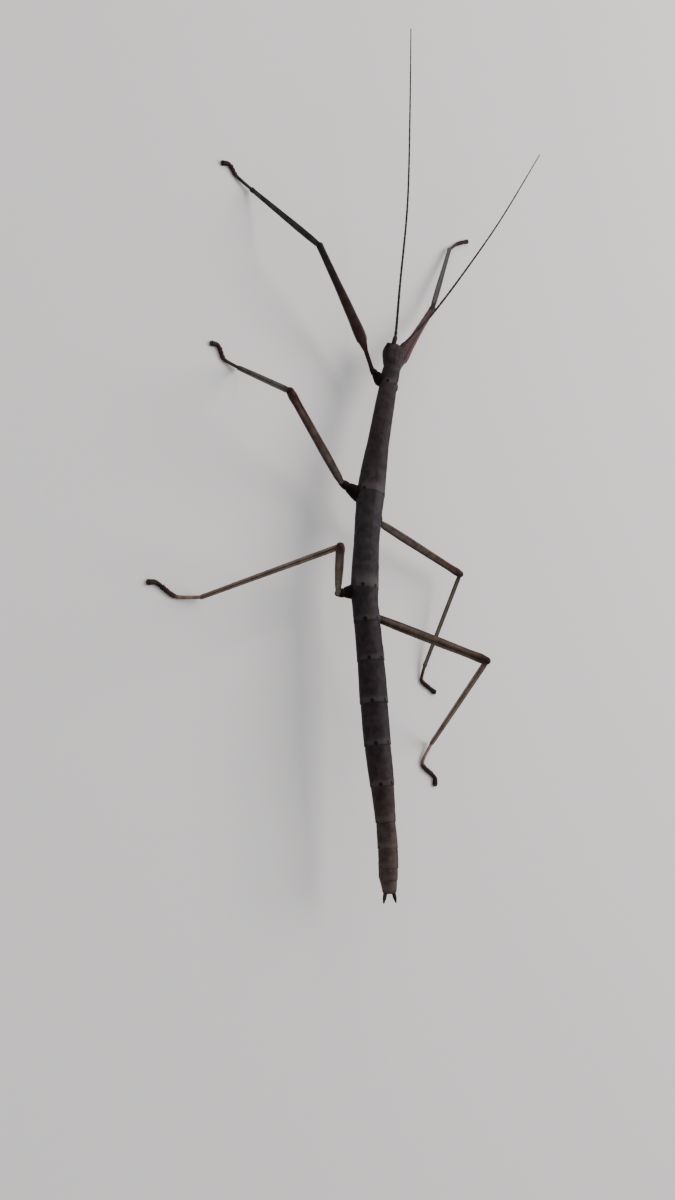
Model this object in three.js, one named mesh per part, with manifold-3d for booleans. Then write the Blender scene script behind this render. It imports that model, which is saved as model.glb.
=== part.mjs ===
import * as THREE from 'three';
import { mergeVertices } from 'three/addons/utils/BufferGeometryUtils.js';
import Module from 'manifold-3d';

// A wingless stick insect, an adult female at life size, standing on a level floor.
// Millimetres, +Z up, the head towards +Y. Headings are degrees from +Y towards +X, and lifts
// are degrees above the level. The hind end of the metathorax is the point everything is set from.

const cut = 0.3; // gap between neighbouring pieces
const eyeCut = 0.12; // gap round an eyeball in its socket
const bodySides = 16;
const limbSides = 8;
const whipSides = 6;

const bodyHeight = 7.9; // middle of the metathorax's hind end above the floor
const bodyLift = -2.6; // the head is carried lower than the tail
const bodyDepth = 0.93; // depth of a body ring over its width

// Body segments from the head back: length, heading, and half width at the front, middle and hind end.
const segments = [
  { name: 'head', length: 4.45, heading: 9 },
  { name: 'prothorax', length: 3.5, heading: 12, half: [1.42, 1.5, 1.4] },
  { name: 'mesothorax', length: 19.5, heading: 10, half: [1.44, 1.7, 2.2] },
  { name: 'metathorax', length: 15.05, heading: 4, half: [2.16, 1.94, 2.12] },
  { name: 'median_segment', length: 4.8, heading: -6, half: [2.1, 1.95, 2.01] },
  { name: 'abdomen_2', length: 5.7, heading: -7.2, half: [1.96, 1.98, 2.05] },
  { name: 'abdomen_3', length: 6.1, heading: -5.7, half: [1.98, 2.05, 2.09] },
  { name: 'abdomen_4', length: 5.9, heading: -6.3, half: [2.0, 2, 1.97] },
  { name: 'abdomen_5', length: 5.65, heading: -8.6, half: [1.9, 1.85, 1.76] },
  { name: 'abdomen_6', length: 4.9, heading: -7, half: [1.68, 1.57, 1.46] },
  { name: 'abdomen_7', length: 3.5, heading: -6, half: [1.38, 1.42, 1.46] },
  { name: 'abdomen_8', length: 2.65, heading: -3, half: [1.42, 1.42, 1.38] },
  { name: 'abdomen_9', length: 1.6, heading: -2, half: [1.33, 1.28, 1.22] },
  { name: 'abdomen_10', length: 1.6, heading: -3, half: [1.17, 1.1, 0.97] },
];
const segmentBehindOrigin = 'median_segment';

// Head: rows of place from neck to mouth, half width and half depth.
const headRows = [
  [0, 1.36, 1.24],
  [0.12, 1.48, 1.34],
  [0.3, 1.66, 1.46],
  [0.48, 1.79, 1.54],
  [0.64, 1.85, 1.54],
  [0.78, 1.78, 1.46],
  [0.88, 1.56, 1.3],
  [0.95, 1.22, 1.06],
  [0.99, 0.74, 0.66],
];
const eye = { radius: 0.46, place: 0.8, across: 1.5, up: 0.46 };
const jaws = { radii: [0.95, 0.95, 0.85], place: 0.84, up: -0.72 };
const palp = { across: 0.48, place: 0.9, up: -1.0, length: 1.25, half: 0.26, heading: 8, lift: -40 };
const socket = { across: 0.72, place: 0.9, up: 0.62 }; // where an antenna leaves the head

// Antennae: the thick first joint and the whip, each stretch as length, heading and lift.
const antennae = {
  left: { side: -1, scape: [1.5, 4, 14], whip: [[8, -3, 9], [14, -1, 7], [14, -3, 4], [20, 0, -1]] },
  right: { side: 1, scape: [1.5, 34, 9], whip: [[8, 36, 8], [13, 31.5, 6], [14, 30.5, 3], [20.5, 29, 0]] },
};
const whipHalf = [0.28, 0.25]; // half thickness at the whip's root and tip
const whipSplit = 0.45; // share of the whip in its first length

const cercus = { across: 0.72, length: 1.3, half: 0.3, spread: 15 };
const operculum = { length: 4.6, half: [0.56, 0.78, 0.46], thick: 0.26 };

// Legs: the place of the coxa beside the body, the lengths of the joints and their rows of place,
// half width and half depth, the same on both sides.
const legPairs = {
  fore: {
    segment: 'prothorax', fromHindEnd: 1.0, across: 1.2, drop: 0.7,
    coxa: 2.0, coxaGirth: 0.84, femur: 20.2, tibia: 16, basitarsus: 3.05, tarsus: 2.0, toe: 1.2,
    bow: 0.55,
    femurRows: [
      [0, 0.38, 0.42], [0.06, 0.36, 0.42], [0.15, 0.38, 0.45], [0.21, 0.66, 0.72], [0.25, 0.94, 0.94],
      [0.3, 0.98, 1], [0.45, 0.82, 0.86], [0.75, 0.62, 0.68], [0.94, 0.56, 0.62], [1, 0.6, 0.56],
    ],
    tibiaRows: [[0, 0.5, 0.52], [0.1, 0.52, 0.56], [0.3, 0.54, 0.58], [0.65, 0.46, 0.5], [1, 0.42, 0.42]],
  },
  middle: {
    segment: 'mesothorax', fromHindEnd: -0.1, across: 1.45, drop: 0.9,
    coxa: 3.3, coxaGirth: 1, femur: 18.86, tibia: 16.2, basitarsus: 2.5, tarsus: 2.2, toe: 1.1,
    bow: 0,
    femurRows: [
      [0, 0.48, 0.5], [0.03, 0.56, 0.6], [0.08, 0.66, 0.7], [0.3, 0.72, 0.76], [0.6, 0.68, 0.72],
      [0.86, 0.66, 0.7], [0.95, 0.72, 0.74], [1, 0.6, 0.6],
    ],
    tibiaRows: [[0, 0.46, 0.46], [0.06, 0.4, 0.44], [0.5, 0.4, 0.44], [0.93, 0.38, 0.4], [1, 0.4, 0.4]],
  },
  hind: {
    segment: 'metathorax', fromHindEnd: -0.2, across: 1.0, drop: 0.9,
    coxa: 2.85, coxaGirth: 1, femur: 19.2, tibia: 23.1, basitarsus: 3.75, tarsus: 3.4, toe: 1.1,
    bow: 0,
    femurRows: [
      [0, 0.44, 0.4], [0.03, 0.52, 0.42], [0.08, 0.7, 0.47], [0.3, 0.78, 0.6], [0.6, 0.72, 0.68],
      [0.86, 0.64, 0.66], [0.95, 0.7, 0.72], [1, 0.58, 0.58],
    ],
    tibiaRows: [[0, 0.46, 0.46], [0.05, 0.4, 0.42], [0.5, 0.38, 0.42], [0.95, 0.35, 0.37], [1, 0.38, 0.38]],
  },
};
const coxaRows = [
  [0, 1.3, 1.3], [0.25, 1.22, 1.22], [0.4, 1.06, 1.04], [0.55, 0.9, 0.86], [0.68, 0.74, 0.72],
  [0.82, 0.74, 0.7], [1, 0.54, 0.54],
];
const coxaLift = -10;
const tarsusRows = [
  [0, 0.3, 0.3], [0.2, 0.28, 0.28], [0.42, 0.3, 0.3], [0.52, 0.4, 0.38], [0.7, 0.4, 0.37],
  [0.84, 0.42, 0.37], [0.92, 0.58, 0.42], [1, 0.44, 0.34],
];
const ankleHeight = 0.75;
const soleHeight = 0.3; // middle of the toes above the floor

// The stance: headings from straight ahead out to the leg's own side.
const stance = [
  {
    side: 'left', pair: 'fore', coxa: 45, femur: 44.4, lift: 12, tibia: 33.3,
    basitarsus: 62, tarsus: 43, toe: 105,
  },
  {
    side: 'right', pair: 'fore', coxa: 28, femur: 29, lift: -7, tibia: 20.5,
    basitarsus: 43, tarsus: 55, toe: 60,
  },
  {
    side: 'left', pair: 'middle', coxa: 66, femur: 66.4, lift: 27.4, tibia: 3.5,
    basitarsus: 73.5, tarsus: 30, toe: 90,
  },
  {
    side: 'right', pair: 'middle', coxa: 152, femur: 102.9, lift: -5.1, tibia: 195.8,
    basitarsus: 189, tarsus: 118, toe: 116,
  },
  {
    side: 'left', pair: 'hind', coxa: 104, femur: 84.3, lift: 54.4, tibia: 117.8,
    basitarsus: 99.5, tarsus: 64, toe: 98,
  },
  {
    side: 'right', pair: 'hind', coxa: 173, femur: 123.4, lift: 46.6, tibia: 142.5,
    basitarsus: 207, tarsus: 124, toe: 172,
  },
];

const finishes = {
  body: { color: 0x33292a, roughness: 0.62 },
  tail: { color: 0x3a2f2a, roughness: 0.6 },
  head: { color: 0x3d2b29, roughness: 0.55 },
  eye: { color: 0x120d0b, roughness: 0.25 },
  antenna: { color: 0x33231f, roughness: 0.6 },
  coxa: { color: 0x191312, roughness: 0.5 },
  foreFemur: { color: 0x43282a, roughness: 0.5 },
  femur: { color: 0x564239, roughness: 0.55 },
  tibia: { color: 0x453329, roughness: 0.58 },
  tarsus: { color: 0x2b1e19, roughness: 0.6 },
};

const wasm = await Module();
wasm.setup();

const insect = new THREE.Group();
const up = new THREE.Vector3(0, 0, 1);

function addMesh(name, geometry, finish) {
  geometry.computeVertexNormals();
  const material = new THREE.MeshStandardMaterial({ ...finishes[finish], metalness: 0 });
  const mesh = new THREE.Mesh(geometry, material);
  mesh.name = name;
  insect.add(mesh);
}

// A step of some length at a heading and a lift.
function step(length, heading, lift) {
  const turn = THREE.MathUtils.degToRad(heading);
  const rise = THREE.MathUtils.degToRad(lift);
  const level = length * Math.cos(rise);
  return new THREE.Vector3(level * Math.sin(turn), level * Math.cos(turn), length * Math.sin(rise));
}

// Directions at a place on a path, which runs on straight past its ends: across is to its right.
function frameAt(path, place) {
  const inside = THREE.MathUtils.clamp(place, 0, 1);
  const along = path.getTangent(inside);
  const centre = path.getPoint(inside).addScaledVector(along, (place - inside) * path.getLength());
  const across = new THREE.Vector3().crossVectors(along, up).normalize();
  return { centre, across, above: new THREE.Vector3().crossVectors(across, along) };
}

// The part of a curve between two shares of its length.
class Stretch extends THREE.Curve {
  constructor(whole, from, to) {
    super();
    this.whole = whole;
    this.from = from;
    this.to = to;
  }

  getPoint(place, target = new THREE.Vector3()) {
    return this.whole.getPointAt(THREE.MathUtils.lerp(this.from, this.to, place), target);
  }

  getTangent(place, target = new THREE.Vector3()) {
    return this.whole.getTangentAt(THREE.MathUtils.lerp(this.from, this.to, place), target);
  }
}

// A turned shape with flat ends, bent along a path. A row is place, half width and half depth,
// and the piece stops short of both ends of the path by the trim.
function loft(path, rows, sides, trim = cut / 2) {
  const first = rows[0];
  const last = rows[rows.length - 1];
  const closed = [[first[0], 0, 0], ...rows, [last[0], 0, 0]];
  const outline = closed.map(([place, halfWidth]) => new THREE.Vector2(halfWidth, place));
  const geometry = new THREE.LatheGeometry(outline, sides, Math.PI / sides);
  const position = geometry.attributes.position;
  const point = new THREE.Vector3();
  const trimShare = trim / path.getLength();
  for (let index = 0; index < position.count; index += 1) {
    const [place, halfWidth, halfDepth] = closed[index % closed.length];
    const { centre, across, above } = frameAt(path, THREE.MathUtils.lerp(trimShare, 1 - trimShare, place));
    point.fromBufferAttribute(position, index);
    centre.addScaledVector(across, point.x);
    centre.addScaledVector(above, halfWidth > 0 ? (point.z * halfDepth) / halfWidth : 0);
    position.setXYZ(index, centre.x, centre.y, Math.max(centre.z, 0));
  }
  return geometry;
}

function toSolid(geometry) {
  const bare = geometry.clone();
  bare.deleteAttribute('normal');
  bare.deleteAttribute('uv');
  const merged = mergeVertices(bare, 1e-4);
  const corners = [...merged.index.array];
  const triangles = [];
  for (let index = 0; index < corners.length; index += 3) {
    const [a, b, c] = corners.slice(index, index + 3);
    if (a !== b && b !== c && c !== a) triangles.push(a, b, c);
  }
  const mesh = new wasm.Mesh({
    numProp: 3,
    vertProperties: new Float32Array(merged.attributes.position.array),
    triVerts: new Uint32Array(triangles),
  });
  return new wasm.Manifold(mesh);
}

function toGeometry(solid) {
  const mesh = solid.getMesh();
  const geometry = new THREE.BufferGeometry();
  geometry.setAttribute('position', new THREE.BufferAttribute(mesh.vertProperties, 3));
  geometry.setIndex(new THREE.BufferAttribute(mesh.triVerts, 1));
  return geometry;
}

// A piece cut back from its neighbours, without the chip that may be left on their far side.
function fitted(solid, neighbours) {
  const remains = neighbours.reduce((rest, neighbour) => rest.subtract(neighbour), solid);
  return remains.decompose().reduce((most, chip) => (chip.volume() > most.volume() ? chip : most));
}

function ellipsoid(radii, centre, around, rings) {
  const geometry = new THREE.SphereGeometry(1, around, rings);
  geometry.rotateX(Math.PI / 2);
  geometry.scale(...radii);
  return geometry.translate(centre.x, centre.y, centre.z);
}

// A path through points set out by stretches of length, heading and lift.
function walk(start, stretches) {
  const points = [start];
  for (const [length, heading, lift] of stretches) {
    points.push(points[points.length - 1].clone().add(step(length, heading, lift)));
  }
  return new THREE.CatmullRomCurve3(points, false, 'centripetal');
}

// The middle line of the body, from the tail to the front of the head.
const split = segments.findIndex((segment) => segment.name === segmentBehindOrigin);
const joints = [new THREE.Vector3(0, 0, bodyHeight)];
for (const { length, heading } of segments.slice(0, split).reverse()) {
  joints.push(joints[joints.length - 1].clone().add(step(length, heading, bodyLift)));
}
for (const { length, heading } of segments.slice(split)) {
  joints.unshift(joints[0].clone().sub(step(length, heading, bodyLift)));
}
const spine = new THREE.CatmullRomCurve3(joints, false, 'centripetal');
spine.arcLengthDivisions = 600;

const bodyLength = segments.reduce((sum, segment) => sum + segment.length, 0);
let hindEnd = bodyLength;
for (const segment of segments) {
  hindEnd -= segment.length;
  segment.hindEnd = hindEnd;
  segment.path = new Stretch(spine, hindEnd / bodyLength, (hindEnd + segment.length) / bodyLength);
}
const segmentNamed = (name) => segments.find((segment) => segment.name === name);

// Rows of a body ring from its hind margin forwards: a rounded lip at each end.
function ringRows([front, middle, hind], extra) {
  const rows = [
    [0, hind - 0.12], [0.05, hind], [0.2, (2 * hind + middle) / 3], [0.5, middle],
    [0.8, (front + middle) / 2], [0.95, front], [1, front - 0.1],
  ];
  return rows.map(([place, half]) => [place, half + extra, half * bodyDepth + extra]);
}

function growRows(rows, extra) {
  return rows.map(([place, halfWidth, halfDepth]) => [place, halfWidth + extra, halfDepth + extra]);
}

// A place beside the body: across to the right, up from the middle line.
function besideBody(path, place, across, above) {
  const frame = frameAt(path, place);
  return frame.centre.addScaledVector(frame.across, across).addScaledVector(frame.above, above);
}

// Body and head grown by the gap, to trim what stands against them.
const head = segmentNamed('head');
const around = { head: toSolid(loft(head.path, growRows(headRows, cut), 24, 0)) };
for (const segment of segments) {
  if (segment !== head) {
    around[segment.name] = toSolid(loft(segment.path, ringRows(segment.half, cut), bodySides, -cut / 2));
  }
}

function buildHead() {
  const skull = toSolid(loft(head.path, headRows, 24));
  const jawCentre = besideBody(head.path, jaws.place, 0, jaws.up);
  let solid = skull.add(toSolid(ellipsoid(jaws.radii, jawCentre, 14, 8)));
  for (const side of [-1, 1]) {
    const root = besideBody(head.path, palp.place, side * palp.across, palp.up);
    const path = walk(root, [[palp.length / 2, palp.heading * side, 0], [palp.length / 2, 0, palp.lift]]);
    const rows = [[0, palp.half, palp.half], [1, palp.half * 0.8, palp.half * 0.8]];
    solid = solid.add(toSolid(loft(path, rows, whipSides, 0)));
    const centre = besideBody(head.path, eye.place, side * eye.across, eye.up);
    const radius = eye.radius + eyeCut;
    solid = solid.subtract(toSolid(ellipsoid([radius, radius, radius], centre, 16, 10)));
    addMesh(`eye_${side < 0 ? 'left' : 'right'}`,
      ellipsoid([eye.radius, eye.radius, eye.radius], centre, 14, 10), 'eye');
  }
  addMesh('head', toGeometry(solid), 'head');
}

function buildAntenna(name, { side, scape, whip }) {
  const start = besideBody(head.path, socket.place, side * socket.across, socket.up);
  const scapePath = walk(start, [scape]);
  const scapeRows = [[0, 0.34, 0.3], [0.4, 0.44, 0.38], [0.85, 0.4, 0.35], [1, 0.32, 0.3]];
  const scapeSolid = fitted(toSolid(loft(scapePath, scapeRows, limbSides)), [around.head]);
  addMesh(`antenna_${name}_scape`, toGeometry(scapeSolid), 'antenna');

  const whipPath = walk(scapePath.getPoint(1), whip);
  const lengths = [['inner', 0, whipSplit, 8], ['outer', whipSplit, 1, 8]];
  for (const [part, from, to, steps] of lengths) {
    const rows = [];
    for (let count = 0; count <= steps; count += 1) {
      const half = THREE.MathUtils.lerp(...whipHalf, THREE.MathUtils.lerp(from, to, count / steps));
      rows.push([count / steps, half, half]);
    }
    addMesh(`antenna_${name}_${part}`, loft(new Stretch(whipPath, from, to), rows, whipSides), 'antenna');
  }
}

function buildTail() {
  const last = segmentNamed('abdomen_10');
  for (const [name, side] of [['left', -1], ['right', 1]]) {
    const root = besideBody(last.path, 0, side * cercus.across, 0);
    const way = step(cercus.length, last.heading - side * cercus.spread, bodyLift);
    const path = new THREE.LineCurve3(root.clone().sub(way), root);
    const rows = [[0, cercus.half * 0.6, cercus.half * 0.6], [0.3, cercus.half, cercus.half],
      [1, cercus.half * 1.1, cercus.half * 1.1]];
    addMesh(`cercus_${name}`, loft(path, rows, limbSides, cut), 'tail');
  }

  // The egg flap lies along the belly under the last three segments.
  const [tip, belly, root] = operculum.half;
  const bellyPath = new Stretch(spine, 0.01, 0.01 + operculum.length / bodyLength);
  const drop = segmentNamed('abdomen_9').half[1] * bodyDepth + cut + operculum.thick;
  const rows = [[0, tip, 0.6], [0.3, belly, 1], [0.7, belly, 1], [1, root, 0.7]];
  const flap = loft(bellyPath, rows.map(([place, half, share]) => [place, half, operculum.thick * share]),
    limbSides, 0);
  addMesh('operculum', flap.translate(0, 0, -drop), 'tail');
}

// A straight path with its first third pushed sideways, as the fore thighs curve past the head.
function bowed(start, end, bow) {
  const along = end.clone().sub(start);
  const across = new THREE.Vector3().crossVectors(along, up).normalize();
  const bend = start.clone().addScaledVector(along, 0.3).addScaledVector(across, bow);
  return new THREE.CatmullRomCurve3([start, bend, end], false, 'centripetal');
}

function buildLeg(pose) {
  const side = pose.side === 'left' ? -1 : 1;
  const pair = legPairs[pose.pair];
  const name = `${pose.side}_${pose.pair}`;
  const carrier = segmentNamed(pair.segment);
  const root = besideBody(carrier.path, pair.fromHindEnd / carrier.length, side * pair.across, -pair.drop);
  const base = root.clone().add(step(pair.coxa, side * pose.coxa, coxaLift));
  const knee = base.clone().add(step(pair.femur, side * pose.femur, pose.lift));
  // The shin drops by whatever brings the ankle to its height over the floor.
  const shinLift = THREE.MathUtils.radToDeg(Math.asin((ankleHeight - knee.z) / pair.tibia));
  const ankle = knee.clone().add(step(pair.tibia, side * pose.tibia, shinLift));
  const footLift = THREE.MathUtils.radToDeg(Math.asin((soleHeight - ankleHeight) / pair.basitarsus));
  const heel = ankle.clone().add(step(pair.basitarsus, side * pose.basitarsus, footLift));
  const ball = heel.clone().add(step(pair.tarsus, side * pose.tarsus, 0));
  const tip = ball.clone().add(step(pair.toe, side * pose.toe, 0));

  const foot = [ankle, ankle.clone().lerp(heel, 0.82), heel.clone().lerp(ball, 0.15), ball, tip];
  const sole = new THREE.CatmullRomCurve3(foot, false, 'centripetal');
  const parts = [
    {
      part: 'coxa',
      path: new THREE.LineCurve3(root, base),
      rows: coxaRows.map(([place, ...halves]) => [place, ...halves.map((half) => half * pair.coxaGirth)]),
    },
    { part: 'femur', path: bowed(base, knee, -side * pair.bow), rows: pair.femurRows },
    { part: 'tibia', path: new THREE.LineCurve3(knee, ankle), rows: pair.tibiaRows },
    { part: 'tarsus', path: sole, rows: tarsusRows },
  ];
  let jointBefore = [];
  for (const { part, path, rows } of parts) {
    const solid = fitted(
      toSolid(loft(path, rows, limbSides, 0)),
      [...Object.values(around), ...jointBefore],
    );
    const finish = pose.pair === 'fore' && part === 'femur' ? 'foreFemur' : part;
    addMesh(`${name}_${part}`, toGeometry(solid), finish);
    jointBefore = [toSolid(loft(path, growRows(rows, cut), limbSides, -cut))];
  }
}

buildHead();
for (const [name, antenna] of Object.entries(antennae)) buildAntenna(name, antenna);
for (const segment of segments) {
  if (segment !== head) {
    const tail = segments.indexOf(segment) > segments.indexOf(segmentNamed('abdomen_4'));
    addMesh(segment.name, loft(segment.path, ringRows(segment.half, 0), bodySides), tail ? 'tail' : 'body');
  }
}
buildTail();
stance.forEach(buildLeg);

// The origin is on the floor under the middle of the whole animal.
const middle = new THREE.Box3().setFromObject(insect).getCenter(new THREE.Vector3());
insect.position.set(-middle.x, -middle.y, 0);

export default insect;
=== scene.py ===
import math

import bmesh
import bpy
from mathutils import Matrix, Vector, noise
from mathutils.geometry import interpolate_bezier


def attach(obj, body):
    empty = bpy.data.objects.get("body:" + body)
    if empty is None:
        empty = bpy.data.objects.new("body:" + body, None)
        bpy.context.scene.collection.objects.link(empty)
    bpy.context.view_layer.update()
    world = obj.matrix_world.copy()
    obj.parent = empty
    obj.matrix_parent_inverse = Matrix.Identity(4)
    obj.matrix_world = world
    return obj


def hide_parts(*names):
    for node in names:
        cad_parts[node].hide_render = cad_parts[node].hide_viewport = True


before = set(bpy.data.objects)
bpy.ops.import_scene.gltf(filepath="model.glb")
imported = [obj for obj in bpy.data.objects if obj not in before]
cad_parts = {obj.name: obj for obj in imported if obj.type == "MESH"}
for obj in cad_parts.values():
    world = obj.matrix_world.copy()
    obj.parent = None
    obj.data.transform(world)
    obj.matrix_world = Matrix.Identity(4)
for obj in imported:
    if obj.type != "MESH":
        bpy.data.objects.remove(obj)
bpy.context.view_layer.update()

# Stick insect, adult female. Shapes are worked out in millimetres with the hind end of the
# metathorax over the zero point, then moved to the model's origin and scaled to metres.
# Headings are degrees from straight ahead (+Y) towards +X, lifts are degrees above the level.
mm = 0.001
originShift = Vector((-2.733, -27.789, 0.0))


def stepBy(length, heading, lift):
    turn, rise = math.radians(heading), math.radians(lift)
    level = length * math.cos(rise)
    return Vector((level * math.sin(turn), level * math.cos(turn), length * math.sin(rise)))


def smoothLine(points, closeness=20):
    # a rounded line through the points, as many short straights
    last = len(points) - 1
    ways = [(points[min(i + 1, last)] - points[max(i - 1, 0)]).normalized() for i in range(last + 1)]
    line = []
    for i in range(last):
        third = (points[i + 1] - points[i]).length / 3
        line += interpolate_bezier(points[i], points[i] + ways[i] * third,
                                   points[i + 1] - ways[i + 1] * third, points[i + 1], closeness)[:-1]
    return line + [points[-1].copy()]


def walk(start, stretches):
    points = [start]
    for length, heading, lift in stretches:
        points.append(points[-1] + stepBy(length, heading, lift))
    return points


class Path:
    # a line that gives its place and its directions at any distance, and runs on past its ends
    def __init__(self, line):
        self.line = line
        self.marks = [0.0]
        for before, after in zip(line, line[1:]):
            self.marks.append(self.marks[-1] + (after - before).length)
        self.length = self.marks[-1]

    def at(self, distance):
        i = 1
        while i < len(self.line) - 1 and self.marks[i] < distance:
            i += 1
        share = (distance - self.marks[i - 1]) / (self.marks[i] - self.marks[i - 1])
        return self.line[i - 1] + (self.line[i] - self.line[i - 1]) * share

    def frameAt(self, distance):
        reach = min(0.4, self.length / 8)
        along = (self.at(distance + reach) - self.at(distance - reach)).normalized()
        across = along.cross(Vector((0, 0, 1))).normalized()
        return self.at(distance), across, across.cross(along), along

    def beside(self, distance, acrossBy, aboveBy):
        centre, across, above, along = self.frameAt(distance)
        return centre + across * acrossBy + above * aboveBy


def between(rows, place):
    # values of a table of (place, value, ...) rows, eased a little from row to row
    if place <= rows[0][0]:
        return rows[0][1:]
    for low, high in zip(rows, rows[1:]):
        if place <= high[0]:
            share = (place - low[0]) / (high[0] - low[0])
            share = 0.5 * share + 0.5 * share * share * (3 - 2 * share)
            return tuple(a + (b - a) * share for a, b in zip(low[1:], high[1:]))
    return rows[-1][1:]


def bell(offset, width):
    return math.exp(-(offset / width) ** 2)


def disc(offset, radius, soft=0.07):
    return min(1.0, max(0.0, (radius + soft - offset) / (2 * soft)))


def easeUp(value, low, high):
    share = min(1.0, max(0.0, (value - low) / (high - low)))
    return share * share * (3 - 2 * share)


def sweep(bm, path, stations, sides, relief=None, paint=None):
    # Rings along a path, each pulled out of the one before. A station is distance, half width and
    # half depth. At a distance and an angle from the back line, relief gives a lift in millimetres
    # and paint a mark from -1 (pale) to 1 (dark), which holds painted shade and painted highlights
    # as well as the skin's own marks.
    layers = bm.verts.layers.float
    lengthwise = layers.get("lengthwise") or layers.new("lengthwise")
    around = layers.get("around") or layers.new("around")
    markAndShade = layers.get("markAndShade") or layers.new("markAndShade")
    edges = []
    for distance, halfWidth, halfDepth in stations:
        centre, across, above, along = path.frameAt(distance)
        place = Matrix((across, above, along)).transposed().to_4x4()
        place.translation = centre
        if edges:
            grown = bmesh.ops.extrude_edge_only(bm, edges=edges)["geom"]
            ring = [item for item in grown if isinstance(item, bmesh.types.BMVert)]
        else:
            ring = bmesh.ops.create_circle(bm, segments=sides, radius=1)["verts"]
            for vert in ring:
                vert[around] = math.atan2(vert.co.x, vert.co.y)
        for vert in ring:
            angle = vert[around]
            lift = relief(distance, angle) if relief else 0.0
            local = Vector((math.sin(angle) * (halfWidth + lift), math.cos(angle) * (halfDepth + lift), 0))
            vert.co = place @ local
            vert[lengthwise] = distance / path.length
            vert[markAndShade] = paint(distance, angle) if paint else 0.0
        members = set(ring)
        ringEdges = [edge for edge in {edge for vert in ring for edge in vert.link_edges}
                     if edge.verts[0] in members and edge.verts[1] in members]
        if not edges:
            bmesh.ops.contextual_create(bm, geom=ringEdges)
        edges = ringEdges
    bmesh.ops.contextual_create(bm, geom=edges)


def domedStations(rows, length, spacing, startDome=1.0, endDome=1.0, steps=7):
    # stations of a limb that ends in a round knob, centred on the joint, at each end
    startHalf, endHalf = rows[0][1], rows[-1][1]
    stations = []
    for i in range(1, steps):
        turn = math.pi / 2 * i / steps
        stations.append((-startHalf * startDome * math.cos(turn),
                         rows[0][1] * math.sin(turn), rows[0][2] * math.sin(turn)))
    count = max(2, round(length / spacing))
    stations += [(length * i / count, *between(rows, i / count)) for i in range(count + 1)]
    for i in range(steps - 1, 0, -1):
        turn = math.pi / 2 * i / steps
        stations.append((length + endHalf * endDome * math.cos(turn),
                         rows[-1][1] * math.sin(turn), rows[-1][2] * math.sin(turn)))
    return stations


def finishPiece(name, bm, material, nodes=()):
    for vert in bm.verts:
        vert.co.z = max(vert.co.z, 0.0)  # soles lie flat on the floor
    bmesh.ops.recalc_face_normals(bm, faces=bm.faces)
    bmesh.ops.transform(bm, matrix=Matrix.Scale(mm, 4) @ Matrix.Translation(originShift), verts=bm.verts)
    mesh = bpy.data.meshes.new(name)
    bm.to_mesh(mesh)
    bm.free()
    mesh.shade_smooth()
    mesh.materials.append(material)
    piece = bpy.data.objects.new(name, mesh)
    bpy.context.scene.collection.objects.link(piece)
    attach(piece, "root")
    if nodes:
        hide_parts(*nodes)
    return piece


cameraSpot = {"place": (-84.63, -37.05, 119.37), "azimuth": -66.52, "lift": 52.0, "roll": 73.44, "lens": 29.89}


def addCamera():
    azimuth, lift, roll = (math.radians(cameraSpot[key]) for key in ("azimuth", "lift", "roll"))
    back = Vector((math.sin(azimuth) * math.cos(lift), -math.cos(azimuth) * math.cos(lift), math.sin(lift)))
    right = (-back).cross(Vector((0, 0, 1))).normalized()
    upward = right.cross(-back)
    turn = Matrix((right, upward, back)).transposed() @ Matrix.Rotation(roll, 3, "Z")
    data = bpy.data.cameras.new("camera")
    data.lens = cameraSpot["lens"]
    data.sensor_width = 36.0
    data.clip_start = 0.005
    camera = bpy.data.objects.new("camera", data)
    camera.matrix_world = Matrix.Translation((Vector(cameraSpot["place"]) + originShift) * mm) @ turn.to_4x4()
    bpy.context.scene.collection.objects.link(camera)
    bpy.context.scene.camera = camera


floorLook = {"size": 6.0, "colour": (0.68, 0.655, 0.63, 1.0), "roughness": 0.9}
studioLights = [  # name, place in metres, width, watts, colour
    ("keyLight", (0.40, 0.12, 0.40), 0.4, 3.9, (1.0, 0.97, 0.98)),
    ("fillLight", (-0.42, 0.18, 0.34), 0.5, 0.5, (0.93, 0.97, 1.0)),
    ("backLight", (0.05, 0.55, 0.36), 0.4, 1.2, (1.0, 1.0, 1.0)),
]
skyLight = {"colour": (0.92, 0.95, 1.0, 1.0), "strength": 0.55}


def addStage():
    bm = bmesh.new()
    bmesh.ops.create_grid(bm, x_segments=1, y_segments=1, size=floorLook["size"] / 2)
    mesh = bpy.data.meshes.new("floor")
    bm.to_mesh(mesh)
    bm.free()
    material = bpy.data.materials.new("paleFloor")
    material.use_nodes = True
    shader = material.node_tree.nodes["Principled BSDF"]
    shader.inputs["Base Color"].default_value = floorLook["colour"]
    shader.inputs["Roughness"].default_value = floorLook["roughness"]
    mesh.materials.append(material)
    floor = bpy.data.objects.new("floor", mesh)
    bpy.context.scene.collection.objects.link(floor)
    for name, place, width, watts, colour in studioLights:
        data = bpy.data.lights.new(name, "AREA")
        data.size = width
        data.energy = watts
        data.color = colour
        light = bpy.data.objects.new(name, data)
        light.matrix_world = Matrix.Translation(place) @ Vector(place).to_track_quat("Z", "Y").to_matrix().to_4x4()
        bpy.context.scene.collection.objects.link(light)
    world = bpy.data.worlds.new("studio")
    world.use_nodes = True
    background = world.node_tree.nodes["Background"]
    background.inputs["Color"].default_value = skyLight["colour"]
    background.inputs["Strength"].default_value = skyLight["strength"]
    bpy.context.scene.world = world


addCamera()
addStage()
print("camera, floor and lights are in place")


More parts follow.
